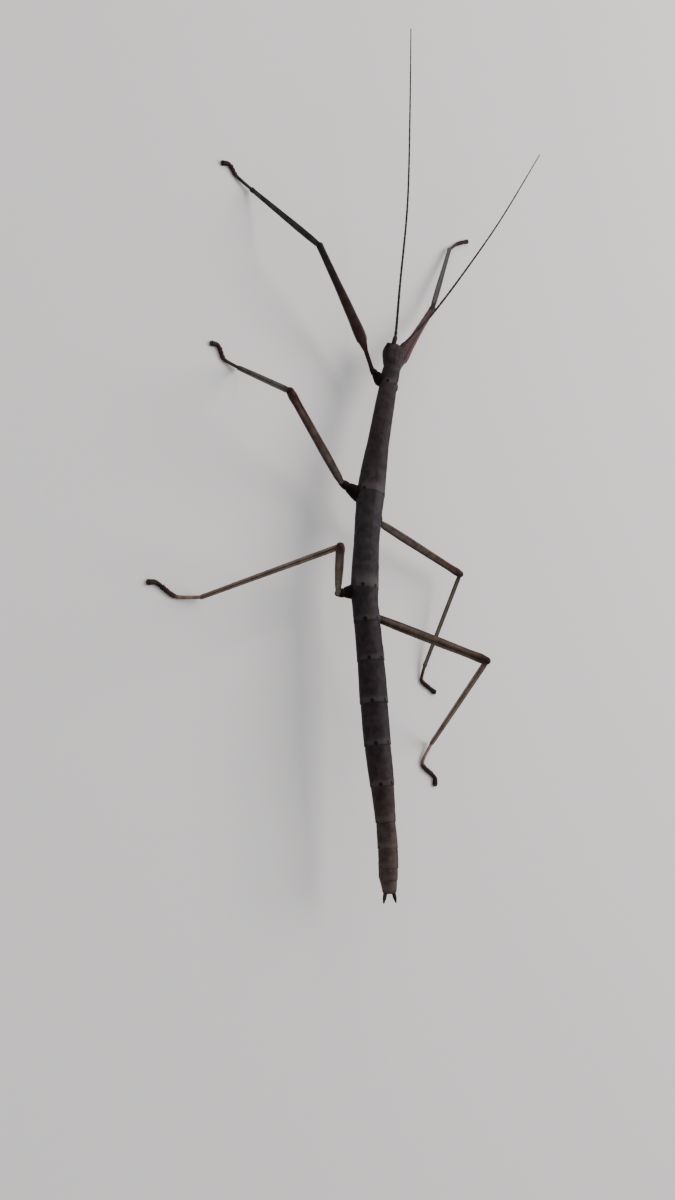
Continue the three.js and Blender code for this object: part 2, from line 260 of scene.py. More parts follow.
def newGroup(name, inputs, outputs):
    group = bpy.data.node_groups.new(name, "ShaderNodeTree")
    for label, kind, value in inputs:
        socket = group.interface.new_socket(label, in_out="INPUT", socket_type=kind)
        socket.default_value = value
    for label, kind in outputs:
        group.interface.new_socket(label, in_out="OUTPUT", socket_type=kind)
    return group, group.nodes.new("NodeGroupInput"), group.nodes.new("NodeGroupOutput")


def addNode(tree, kind, settings=None, **values):
    node = tree.nodes.new(kind)
    for key, value in (settings or {}).items():
        setattr(node, key, value)
    for key, value in values.items():
        node.inputs[key].default_value = value
    return node


def mathNode(tree, operation, a, b=None, clamp=False):
    node = addNode(tree, "ShaderNodeMath", {"operation": operation, "use_clamp": clamp})
    for i, value in enumerate((a, b)):
        if isinstance(value, bpy.types.NodeSocket):
            tree.links.new(value, node.inputs[i])
        elif value is not None:
            node.inputs[i].default_value = value
    return node.outputs[0]


def noiseNode(tree, vector, scale, detail=3.0, roughness=0.55):
    node = addNode(tree, "ShaderNodeTexNoise", Detail=detail, Roughness=roughness)
    tree.links.new(vector, node.inputs["Vector"])
    if isinstance(scale, bpy.types.NodeSocket):
        tree.links.new(scale, node.inputs["Scale"])
    else:
        node.inputs["Scale"].default_value = scale
    return node.outputs["Fac"]


def buildCuticleGroup():
    # Horny skin of an insect: cloudy mottling, fine pits and pale flecks, worked from object
    # coordinates, whose unit is the metre.
    group, given, result = newGroup(
        "cuticle",
        [("Mottle Scale", "NodeSocketFloat", 900.0), ("Grain Scale", "NodeSocketFloat", 6000.0),
         ("Fleck Share", "NodeSocketFloat", 0.3)],
        [("Mottle", "NodeSocketFloat"), ("Fleck", "NodeSocketFloat"), ("Grain", "NodeSocketFloat")])
    where = group.nodes.new("ShaderNodeTexCoord").outputs["Object"]
    broad = noiseNode(group, where, given.outputs["Mottle Scale"], 4.0, 0.6)
    mottle = addNode(group, "ShaderNodeMapRange", {"interpolation_type": "SMOOTHSTEP"},
                     **{"From Min": 0.36, "From Max": 0.66})
    group.links.new(broad, mottle.inputs["Value"])
    fine = noiseNode(group, where, given.outputs["Grain Scale"], 2.0, 0.6)
    cells = addNode(group, "ShaderNodeTexVoronoi", {"feature": "F1"})
    group.links.new(where, cells.inputs["Vector"])
    group.links.new(given.outputs["Grain Scale"], cells.inputs["Scale"])
    pits = mathNode(group, "SUBTRACT", 1.0, cells.outputs["Distance"], True)
    grain = mathNode(group, "ADD", mathNode(group, "MULTIPLY", fine, 0.6), mathNode(group, "MULTIPLY", pits, 0.4))
    spots = noiseNode(group, where, mathNode(group, "MULTIPLY", given.outputs["Mottle Scale"], 3.1), 3.0, 0.7)
    edge = mathNode(group, "SUBTRACT", 0.78, mathNode(group, "MULTIPLY", given.outputs["Fleck Share"], 0.4))
    fleck = mathNode(group, "MULTIPLY", mathNode(group, "SUBTRACT", spots, edge), 7.0, True)
    group.links.new(mottle.outputs["Result"], result.inputs["Mottle"])
    group.links.new(fleck, result.inputs["Fleck"])
    group.links.new(grain, result.inputs["Grain"])
    return group


cuticleGroup = buildCuticleGroup()


def mixColour(tree, share, first, second):
    node = addNode(tree, "ShaderNodeMix", {"data_type": "RGBA"})
    sockets = [node.inputs[0], node.inputs[6], node.inputs[7]]
    for socket, value in zip(sockets, (share, first, second)):
        if isinstance(value, bpy.types.NodeSocket):
            tree.links.new(value, socket)
        else:
            socket.default_value = value
    return node.outputs[2]


def cuticle(name, look):
    # look: ramp along the piece of (place, dark colour, light colour), mark colour, finish
    material = bpy.data.materials.new(name)
    material.use_nodes = True
    tree = material.node_tree
    shader = tree.nodes["Principled BSDF"]
    group = addNode(tree, "ShaderNodeGroup", {"node_tree": cuticleGroup})
    group.inputs["Mottle Scale"].default_value = look["mottle"]
    group.inputs["Grain Scale"].default_value = look["grain"]
    group.inputs["Fleck Share"].default_value = look["flecks"]
    lengthwise = addNode(tree, "ShaderNodeAttribute", {"attribute_name": "lengthwise"})
    marks = addNode(tree, "ShaderNodeAttribute", {"attribute_name": "markAndShade"})
    ramps = []
    for shade in (1, 2):
        ramp = tree.nodes.new("ShaderNodeValToRGB")
        elements = ramp.color_ramp.elements
        while len(elements) < len(look["ramp"]):
            elements.new(1.0)
        for element, row in zip(elements, look["ramp"]):
            element.position = row[0]
            element.color = (*row[shade], 1.0)
        tree.links.new(lengthwise.outputs["Fac"], ramp.inputs["Fac"])
        ramps.append(ramp.outputs["Color"])
    colour = mixColour(tree, group.outputs["Mottle"], ramps[0], ramps[1])
    fleckShare = mathNode(tree, "MULTIPLY", group.outputs["Fleck"], look["fleckDepth"])
    colour = mixColour(tree, fleckShare, colour, (*look["fleckColour"], 1.0))
    # the mark darkens toward markColour and pales toward paleColour; these give painted shade and painted highlights
    # as well as the skin's own marks
    markShare = mathNode(tree, "MULTIPLY", marks.outputs["Fac"], look["markDepth"], True)
    colour = mixColour(tree, markShare, colour, (*look["markColour"], 1.0))
    paleShare = mathNode(tree, "MULTIPLY", marks.outputs["Fac"], -look["markDepth"], True)
    colour = mixColour(tree, paleShare, colour, (*look["paleColour"], 1.0))
    tree.links.new(colour, shader.inputs["Base Color"])
    rough = addNode(tree, "ShaderNodeMapRange",
                    **{"To Min": look["roughness"] - 0.07, "To Max": look["roughness"] + 0.1})
    tree.links.new(group.outputs["Grain"], rough.inputs["Value"])
    tree.links.new(rough.outputs["Result"], shader.inputs["Roughness"])
    bump = addNode(tree, "ShaderNodeBump", Strength=look["bump"], Distance=0.00004)
    tree.links.new(group.outputs["Grain"], bump.inputs["Height"])
    tree.links.new(bump.outputs["Normal"], shader.inputs["Normal"])
    shader.inputs["Specular IOR Level"].default_value = look["specular"]
    return material


plainLook = {"mottle": 900.0, "grain": 6500.0, "flecks": 0.3, "fleckDepth": 0.3, "fleckColour": (0.07, 0.05, 0.04),
             "markDepth": 0.92, "markColour": (0.003, 0.0022, 0.0022), "paleColour": (0.06, 0.05, 0.05),
             "roughness": 0.58, "bump": 0.5, "specular": 0.1}

# each ramp runs along its piece: place, dark mottle, light mottle
bodyLook = {**plainLook, "ramp": [
    (0.00, (0.034, 0.0222, 0.0156), (0.074, 0.050, 0.037)),
    (0.105, (0.0253, 0.016, 0.0136), (0.0545, 0.0358, 0.0307)),
    (0.13, (0.020, 0.0125, 0.0112), (0.043, 0.028, 0.025)),
    (0.23, (0.011, 0.0072, 0.0078), (0.024, 0.0155, 0.0172)),
    (0.42, (0.0105, 0.0072, 0.0080), (0.023, 0.0155, 0.0175)),
    (0.50, (0.014, 0.0108, 0.0113), (0.030, 0.0235, 0.0245)),
    (0.68, (0.014, 0.0106, 0.0111), (0.030, 0.0230, 0.0240)),
    (0.74, (0.0135, 0.0082, 0.0086), (0.029, 0.0180, 0.0188)),
    (0.86, (0.0135, 0.0084, 0.0086), (0.029, 0.0183, 0.0188)),
    (0.93, (0.015, 0.0106, 0.0108), (0.032, 0.0230, 0.0235)),
    (0.96, (0.016, 0.0102, 0.0100), (0.035, 0.0230, 0.0228)),
]}
antennaLook = {**plainLook, "markDepth": 0.7, "ramp": [
    (0.0, (0.017, 0.010, 0.0085), (0.036, 0.022, 0.018)), (1.0, (0.030, 0.023, 0.020), (0.058, 0.045, 0.040))]}
# the hips are near black: dark cuticle with painted shade, as they sit under the body
coxaLook = {**plainLook, "specular": 0.04, "fleckDepth": 0.06, "ramp": [
    (0.0, (0.004, 0.003, 0.003), (0.009, 0.006, 0.0058)), (0.55, (0.004, 0.0025, 0.0025), (0.010, 0.005, 0.0045)),
    (1.0, (0.011, 0.004, 0.003), (0.026, 0.009, 0.006))]}
foreFemurLook = {**plainLook, "roughness": 0.46, "paleColour": (0.13, 0.06, 0.056), "ramp": [
    (0.0, (0.007, 0.0046, 0.0042), (0.014, 0.009, 0.008)), (0.22, (0.022, 0.0085, 0.0075), (0.044, 0.018, 0.016)),
    (0.6, (0.0175, 0.0108, 0.0088), (0.037, 0.0215, 0.0175)), (1.0, (0.013, 0.0105, 0.010), (0.026, 0.020, 0.019))]}
foreTibiaLook = {**plainLook, "paleColour": (0.20, 0.185, 0.18), "ramp": [
    (0.0, (0.016, 0.0125, 0.012), (0.033, 0.027, 0.025)), (1.0, (0.023, 0.020, 0.0175), (0.048, 0.042, 0.037))]}
middleFemurLook = {**plainLook, "paleColour": (0.15, 0.11, 0.085), "ramp": [
    (0.0, (0.043, 0.034, 0.024), (0.090, 0.074, 0.056)), (0.35, (0.045, 0.032, 0.024), (0.094, 0.069, 0.054)),
    (0.75, (0.043, 0.023, 0.018), (0.088, 0.050, 0.041)), (1.0, (0.026, 0.010, 0.008), (0.056, 0.022, 0.018))]}
middleTibiaLook = {**plainLook, "paleColour": (0.17, 0.13, 0.11), "ramp": [
    (0.0, (0.028, 0.016, 0.013), (0.060, 0.037, 0.031)), (0.2, (0.036, 0.032, 0.026), (0.078, 0.070, 0.060)),
    (1.0, (0.030, 0.025, 0.020), (0.062, 0.052, 0.044))]}
hindFemurLook = {**plainLook, "paleColour": (0.19, 0.12, 0.095), "ramp": [
    (0.0, (0.040, 0.030, 0.021), (0.084, 0.064, 0.048)), (0.45, (0.044, 0.030, 0.021), (0.092, 0.064, 0.048)),
    (0.85, (0.038, 0.024, 0.016), (0.078, 0.050, 0.036)), (1.0, (0.026, 0.012, 0.009), (0.054, 0.027, 0.021))]}
hindTibiaLook = {**plainLook, "paleColour": (0.26, 0.19, 0.14), "ramp": [
    (0.0, (0.042, 0.021, 0.014), (0.088, 0.048, 0.036)), (0.2, (0.060, 0.043, 0.031), (0.128, 0.094, 0.070)),
    (1.0, (0.046, 0.029, 0.021), (0.098, 0.063, 0.048))]}
tarsusLook = {**plainLook, "ramp": [
    (0.0, (0.026, 0.018, 0.013), (0.056, 0.040, 0.030)), (0.44, (0.020, 0.013, 0.010), (0.042, 0.028, 0.021)),
    (0.56, (0.019, 0.008, 0.006), (0.040, 0.017, 0.013)), (1.0, (0.011, 0.006, 0.0052), (0.024, 0.013, 0.011))]}
hindTarsusLook = {**tarsusLook, "ramp": [
    (0.0, (0.11, 0.075, 0.058), (0.21, 0.150, 0.120)), (0.38, (0.10, 0.066, 0.050), (0.19, 0.130, 0.105)),
    (0.50, (0.020, 0.009, 0.007), (0.042, 0.019, 0.015)), (1.0, (0.011, 0.006, 0.0052), (0.024, 0.013, 0.011))]}
mouthLook = {**plainLook, "ramp": [
    (0.0, (0.012, 0.007, 0.0055), (0.028, 0.016, 0.0125)), (1.0, (0.028, 0.016, 0.012), (0.056, 0.033, 0.025))]}

bodyCuticle = cuticle("bodyCuticle", bodyLook)
antennaCuticle = cuticle("antennaCuticle", antennaLook)
coxaCuticle = cuticle("coxaCuticle", coxaLook)
mouthCuticle = cuticle("mouthCuticle", mouthLook)
legCuticle = {
    "fore": (cuticle("foreFemurCuticle", foreFemurLook), cuticle("foreTibiaCuticle", foreTibiaLook),
             cuticle("tarsusCuticle", tarsusLook)),
    "middle": (cuticle("middleFemurCuticle", middleFemurLook), cuticle("middleTibiaCuticle", middleTibiaLook),
               bpy.data.materials["tarsusCuticle"]),
    "hind": (cuticle("hindFemurCuticle", hindFemurLook), cuticle("hindTibiaCuticle", hindTibiaLook),
             cuticle("hindTarsusCuticle", hindTarsusLook)),
}
clawCuticle = bpy.data.materials["tarsusCuticle"]


def eyeMaterial():
    material = bpy.data.materials.new("compoundEye")
    material.use_nodes = True
    tree = material.node_tree
    shader = tree.nodes["Principled BSDF"]
    where = tree.nodes.new("ShaderNodeTexCoord").outputs["Object"]
    cells = addNode(tree, "ShaderNodeTexVoronoi", {"feature": "F1"}, Scale=24000.0, Randomness=0.35)
    tree.links.new(where, cells.inputs["Vector"])
    colour = mixColour(tree, cells.outputs["Distance"], (0.009, 0.004, 0.003, 1.0), (0.002, 0.0014, 0.0014, 1.0))
    tree.links.new(colour, shader.inputs["Base Color"])
    bump = addNode(tree, "ShaderNodeBump", Strength=0.35, Distance=0.00002)
    tree.links.new(mathNode(tree, "SUBTRACT", 1.0, cells.outputs["Distance"]), bump.inputs["Height"])
    tree.links.new(bump.outputs["Normal"], shader.inputs["Normal"])
    shader.inputs["Roughness"].default_value = 0.34
    shader.inputs["Specular IOR Level"].default_value = 0.16
    return material


eyeShine = eyeMaterial()
print("materials are mixed")


bodyPlan = {
    "height": 7.9, "lift": -2.6, "depth": 0.93, "sides": 108, "spacing": 0.16, "fineSpacing": 0.06,
    # length, heading, then half width at the front, middle and hind end, from the head back
    "segments": [
        ("head", 4.45, 9, None),
        ("prothorax", 3.5, 12, (1.42, 1.5, 1.4)),
        ("mesothorax", 19.5, 10, (1.44, 1.7, 2.2)),
        ("metathorax", 15.05, 4, (2.16, 1.94, 2.12)),
        ("median_segment", 4.8, -6, (2.1, 1.95, 2.01)),
        ("abdomen_2", 5.7, -7.2, (1.96, 1.98, 2.05)),
        ("abdomen_3", 6.1, -5.7, (1.98, 2.05, 2.09)),
        ("abdomen_4", 5.9, -6.3, (2.0, 2.0, 1.97)),
        ("abdomen_5", 5.65, -8.6, (1.9, 1.85, 1.76)),
        ("abdomen_6", 4.9, -7, (1.68, 1.57, 1.46)),
        ("abdomen_7", 3.5, -6, (1.38, 1.42, 1.46)),
        ("abdomen_8", 2.65, -3, (1.42, 1.42, 1.38)),
        ("abdomen_9", 1.6, -2, (1.33, 1.28, 1.22)),
        ("abdomen_10", 1.6, -3, (1.17, 1.1, 0.97)),
    ],
    "behindZero": 4,  # the first segment behind the zero point
    "lip": 0.01, "step": 0.03, "crease": 0.2,
    "roll": -0.26,  # the trunk leans a little onto its left side
    "dot": {"angle": 0.5, "wideAngle": 0.85, "from": 0.26, "size": 0.27, "pit": 0.06},
    # painted shade: a small dark spot on each side just before every joint, where the segments overlap
    "sideJointShade": {"angle": 1.4, "size": 0.2},
    # pale collar before each joint: distance, half length and share, broad on the thorax
    "collar": (0.45, 0.42, 0.5),
    "broadCollar": {"mesothorax": (0.65, 1.0, 0.7), "metathorax": (1.0, 1.15, 0.75)},
}
headPlan = {
    "rows": [
        (0.0, 1.31, 1.2), (0.05, 1.36, 1.24), (0.12, 1.43, 1.3), (0.3, 1.62, 1.44), (0.48, 1.77, 1.53),
        (0.64, 1.84, 1.53), (0.78, 1.77, 1.45), (0.88, 1.55, 1.29), (0.95, 1.2, 1.04), (0.985, 0.8, 0.7),
        (1.0, 0.4, 0.36)],
    "eye": {"radius": 0.45, "place": 0.8, "across": 1.5, "up": 0.46},
    "socket": {"across": 0.72, "place": 0.9, "up": 0.62},
    "marks": {"brow": 0.1, "socketRing": 0.1, "line": 0.045, "neck": 0.03},
    # grooves and swellings: angle from the crown, its spread, place, its spread, lift
    "folds": [
        (0.0, 0.3, 0.9, 0.07, -0.06), (0.62, 0.08, 0.3, 0.22, -0.045), (2.0, 0.35, 0.58, 0.2, 0.07),
        (1.62, 0.08, 0.36, 0.24, -0.06), (2.45, 0.09, 0.5, 0.35, -0.07)],
}

segments = bodyPlan["segments"]
bodyLength = sum(segment[1] for segment in segments)


def buildSpine():
    joints = [Vector((0, 0, bodyPlan["height"]))]
    for name, length, heading, half in reversed(segments[:bodyPlan["behindZero"]]):
        joints.append(joints[-1] + stepBy(length, heading, bodyPlan["lift"]))
    for name, length, heading, half in segments[bodyPlan["behindZero"]:]:
        joints.insert(0, joints[0] - stepBy(length, heading, bodyPlan["lift"]))
    return Path(smoothLine(joints))


spine = buildSpine()
hindEnds = {}
distance = spine.length
for name, length, heading, half in segments:
    distance -= length * spine.length / bodyLength
    hindEnds[name] = distance


def segmentAt(distance):
    for segment in segments:
        if distance >= hindEnds[segment[0]]:
            return segment
    return segments[-1]


def bodyHalf(distance):
    name, length, heading, half = segmentAt(distance)
    place = (distance - hindEnds[name]) / length
    if half is None:
        return between(headPlan["rows"], place)
    front, middle, hind = half
    rows = [(0, hind), (0.2, (2 * hind + middle) / 3), (0.5, middle), (0.8, (front + middle) / 2), (1, front)]
    width = between(rows, place)[0]
    width += bodyPlan["lip"] * bell(place * length - 0.2, 0.3)
    width -= bodyPlan["step"] * bell((1 - place) * length, bodyPlan["crease"])
    return width, width * bodyPlan["depth"]


def spotOnHead(feature):
    # where a head feature sits: distance along the body, and angle from the back line
    return hindEnds["head"] + feature["place"] * segments[0][1], math.atan2(feature["across"], feature["up"])


def rolled(distance, angle):
    # angle from the trunk's own back line, which leans over behind the head
    lean = bodyPlan["roll"] * easeUp(hindEnds["head"] - distance, 0.0, 4.0)
    return (angle - lean + math.pi) % (2 * math.pi) - math.pi


def fromLine(point, start, end):
    # distance from a point to a straight, on the flattened skin
    along = end - start
    share = min(1.0, max(0.0, (point - start).dot(along) / along.length_squared))
    return (point - start - along * share).length


def headRelief(distance, angle, place):
    sideAngle = abs(angle)
    marks = headPlan["marks"]
    eyePlace, eyeAngle = spotOnHead(headPlan["eye"])
    fromEye = math.hypot(distance - eyePlace, 1.5 * (sideAngle - eyeAngle))
    brow = 0.5 + 0.5 * bell(sideAngle - eyeAngle + 0.45, 0.4)
    lift = marks["brow"] * brow * bell(fromEye - 0.54, 0.12) - 0.25 * bell(fromEye, 0.3)
    lift -= 0.05 * bell(fromEye - 0.78, 0.1)
    socketPlace, socketAngle = spotOnHead(headPlan["socket"])
    fromSocket = math.hypot(distance - socketPlace, 1.1 * (sideAngle - socketAngle))
    lift += marks["socketRing"] * bell(fromSocket - 0.42, 0.09) - 0.12 * bell(fromSocket, 0.24)
    # crown line, with two arms that run out to the sockets
    here = Vector((distance, sideAngle * 1.6))
    fork = Vector((hindEnds["head"] + 0.56 * segments[0][1], 0.0))
    lift -= marks["line"] * bell(angle, 0.11) * easeUp(place, 0.04, 0.12) * (1 - easeUp(place, 0.54, 0.6))
    lift -= marks["line"] * bell(fromLine(here, fork, Vector((socketPlace - 0.2, socketAngle * 1.25))), 0.15)
    for angleAt, angleSpread, placeAt, placeSpread, height in headPlan["folds"]:
        lift += height * bell(sideAngle - angleAt, angleSpread) * bell(place - placeAt, placeSpread)
    return lift - marks["neck"] * bell(place * segments[0][1] - 0.28, 0.2)


def dotAngle(name):
    # the two dots of a segment lie wider apart where the middle legs leave the body
    return bodyPlan["dot"]["wideAngle" if name == "mesothorax" else "angle"]


def bodyRelief(distance, angle):
    name, length, heading, half = segmentAt(distance)
    angle = rolled(distance, angle)
    sideAngle = abs(angle)
    spot = Vector((distance * 1.5, math.sin(angle) * 2.6, math.cos(angle) * 2.6))
    grain = noise.noise(spot * 3.4 + Vector((7, 3, 1)))
    lift = 0.018 * noise.noise(spot) + 0.012 * noise.noise(spot * 2.7) + 0.045 * max(0.0, grain - 0.25)
    if half is None:
        return lift * 0.6 + headRelief(distance, angle, (distance - hindEnds["head"]) / length)
    fromHind = distance - hindEnds[name]
    lift += 0.012 * noise.noise(Vector((distance * 0.9, math.sin(angle) * 9, math.cos(angle) * 9)))
    if name in ("mesothorax", "metathorax"):
        lift += 0.02 * bell(angle, 0.08)
    lift -= 0.04 * bell(sideAngle - 1.95, 0.06)
    dot = bodyPlan["dot"]
    if distance > hindEnds["abdomen_5"]:
        fromDot = math.hypot(fromHind - dot["from"], half[2] * (sideAngle - dotAngle(name)))
        lift += 0.04 * bell(fromDot - 0.34, 0.12) - dot["pit"] * bell(fromDot, dot["size"])
    return lift


# dark skin and painted shade round the root of each leg, where it meets the body: distance before the segment's hind
# end, angle and size
coxaSkinAndShade = {"prothorax": (1.2, 1.7, 1.15), "mesothorax": (0.4, 1.85, 1.4), "metathorax": (0.4, 1.85, 1.5)}


def headPaint(distance, angle, place, flankShade):
    sideAngle = abs(angle)
    eyePlace, eyeAngle = spotOnHead(headPlan["eye"])
    fromEye = math.hypot(distance - eyePlace, 1.5 * (sideAngle - eyeAngle))
    socketPlace, socketAngle = spotOnHead(headPlan["socket"])
    fromSocket = math.hypot(distance - socketPlace, 1.1 * (sideAngle - socketAngle))
    stripe = 0.85 * easeUp(sideAngle, 0.9, 1.3) * (1 - easeUp(sideAngle, 2.0, 2.4))
    stripe *= easeUp(place, 0.0, 0.3) * (1 - easeUp(place, 0.84, 0.93))
    crown = 0.45 * bell(angle, 0.07) * (1 - easeUp(place, 0.54, 0.6))
    # painted shade on the head's flanks, faded out towards the mouth
    flankShade *= 1 - 0.7 * easeUp(place, 0.84, 0.93)
    dark = max(flankShade, stripe, crown, 0.85 * disc(fromEye, 0.52), 0.6 * disc(fromSocket, 0.3),
               0.2 * bell(place * segments[0][1] - 0.28, 0.15))
    pale = 0.3 * disc(abs(sideAngle - 0.62), 0.08, 0.06) * easeUp(place, 0.1, 0.3) * (1 - easeUp(place, 0.6, 0.8))
    return dark - pale - 0.25 * bell(sideAngle - 1.75, 0.1) * bell(place - 0.45, 0.25)


def bodyPaint(distance, angle):
    # above zero for dark marks and painted shade, below zero for pale ones
    name, length, heading, half = segmentAt(distance)
    angle = rolled(distance, angle)
    sideAngle = abs(angle)
    fromHind = distance - hindEnds[name]
    fromFront = length - fromHind
    # painted shade: the flanks and the underside are darkened, as if the light fell only from above
    flankShade = 0.4 * easeUp(sideAngle, 0.8, 1.5) * (1 - 0.6 * easeUp(sideAngle, 2.2, 2.8))
    if half is None:
        return headPaint(distance, angle, fromHind / length, flankShade)
    at, size, share = bodyPlan["broadCollar"].get(name, bodyPlan["collar"])
    collar = share * bell(fromHind - at, size)
    dot, sideJointShade = bodyPlan["dot"], bodyPlan["sideJointShade"]
    dots = 0.0
    if distance > hindEnds["abdomen_5"]:
        dots = disc(math.hypot(fromHind - dot["from"], half[2] * (sideAngle - dotAngle(name))), dot["size"])
    # painted shade on both sides where each segment overlaps the next
    sides = disc(math.hypot(fromHind - 0.2, half[2] * (sideAngle - sideJointShade["angle"])), sideJointShade["size"])
    patch = noise.noise(Vector((distance * 0.5, math.sin(angle) * 1.2, math.cos(angle) * 1.2)))
    base = 0.0
    if name in coxaSkinAndShade:
        spotAt, angleAt, radius = coxaSkinAndShade[name]
        # dark pleural skin with painted shade beside the leg root
        base = 0.95 * disc(math.hypot(fromHind - spotAt, half[2] * (sideAngle - angleAt)), radius, 0.5)
    dark = max(dots, sides, base, 0.15 * bell(fromFront - 0.1, 0.12))
    plain = flankShade + 0.06 * bell(fromFront - 0.9, 0.7) + 0.25 * patch - collar
    return plain * (1 - dark) + dark


def buildBody():
    headStart = hindEnds["head"]
    stations = []
    for i in range(1, 6):  # rounded tail end
        turn = math.pi / 2 * i / 6
        width, depth = bodyHalf(0.0)
        stations.append((0.15 - 0.35 * math.cos(turn), width * math.sin(turn), depth * math.sin(turn)))
    distance = 0.2
    while distance < spine.length:
        stations.append((distance, *bodyHalf(distance)))
        nearJoint = min(abs(distance - end) for end in hindEnds.values())
        fine = distance > headStart - 0.2 or nearJoint < 0.5
        distance += bodyPlan["fineSpacing"] if fine else bodyPlan["spacing"]
    stations.append((spine.length, *bodyHalf(spine.length)))
    bm = bmesh.new()
    sweep(bm, spine, stations, bodyPlan["sides"], bodyRelief, bodyPaint)
    finishPiece("body_skin", bm, bodyCuticle, [segment[0] for segment in segments])


buildBody()
print("body is built")


def buildEyes():
    plan = headPlan["eye"]
    place = hindEnds["head"] + plan["place"] * segments[0][1]
    for name, side in (("left", -1), ("right", 1)):
        bm = bmesh.new()
        ball = bmesh.ops.create_uvsphere(bm, u_segments=40, v_segments=24, radius=plan["radius"])["verts"]
        bmesh.ops.translate(bm, verts=ball, vec=spine.beside(place, side * plan["across"], plan["up"]))
        finishPiece("eyeball_" + name, bm, eyeShine, ["eye_" + name])


buildEyes()


antennaPlan = {
    "left": {"side": -1, "scape": (1.5, 4, 14), "whip": [(8, -3, 9), (14, -1, 7), (14, -3, 4), (20, 0, -1)]},
    "right": {"side": 1, "scape": (1.5, 34, 9), "whip": [(8, 36, 8), (13, 31.5, 6), (14, 30.5, 3), (20.5, 29, 0)]},
    # half width and half depth by distance from the socket
    "rows": [(0.0, 0.29, 0.26), (0.25, 0.38, 0.33), (0.9, 0.41, 0.35), (1.42, 0.32, 0.28), (1.52, 0.19, 0.19),
             (1.62, 0.22, 0.22), (1.85, 0.26, 0.25), (2.2, 0.25, 0.24), (2.34, 0.17, 0.17), (2.5, 0.21, 0.21),
             (12.0, 0.18, 0.18), (40.0, 0.13, 0.13), (58.0, 0.085, 0.085)],
    # where the ringed whip starts and ends, and the length of a ring near the head and at the tip
    "whip": (2.34, 58.0), "ringLength": (0.75, 1.9),
    "spacing": 0.16, "sides": 14,
}


def ringShare(distance):
    # how far along its whip ring a place is, from 0 to 1
    near, far = antennaPlan["ringLength"]
    start, end = antennaPlan["whip"]
    length = near
    while start + length < distance:
        start += length
        length = near + (far - near) * min(1.0, start / end)
    return (distance - start) / length


def buildAntenna(name):
    plan = antennaPlan[name]
    socket = headPlan["socket"]
    place = hindEnds["head"] + socket["place"] * segments[0][1]
    start = spine.beside(place, plan["side"] * socket["across"], socket["up"])
    path = Path(smoothLine(walk(start, [plan["scape"], *plan["whip"]])))
    stations = []
    distance = 0.0
    while distance < path.length:
        width, depth = between(antennaPlan["rows"], distance)
        if distance > 2.4:
            swell = 1 + 0.10 * ringShare(distance) - 0.16 * bell(ringShare(distance), 0.12)
            width, depth = width * swell, depth * swell
        stations.append((distance, width, depth))
        distance += 0.07 if distance < 3 else antennaPlan["spacing"]
    stations.append((path.length, 0.03, 0.03))

    def paint(distance, angle):
        return 0.75 * bell(ringShare(distance) - 0.92, 0.2) if distance > 2.4 else 0.2

    bm = bmesh.new()
    sweep(bm, path, stations, antennaPlan["sides"], None, paint)
    nodes = [f"antenna_{name}_{part}" for part in ("scape", "inner", "outer")]
    finishPiece("antenna_" + name, bm, antennaCuticle, nodes)


buildAntenna("left")
buildAntenna("right")
print("eyes and feelers are built")


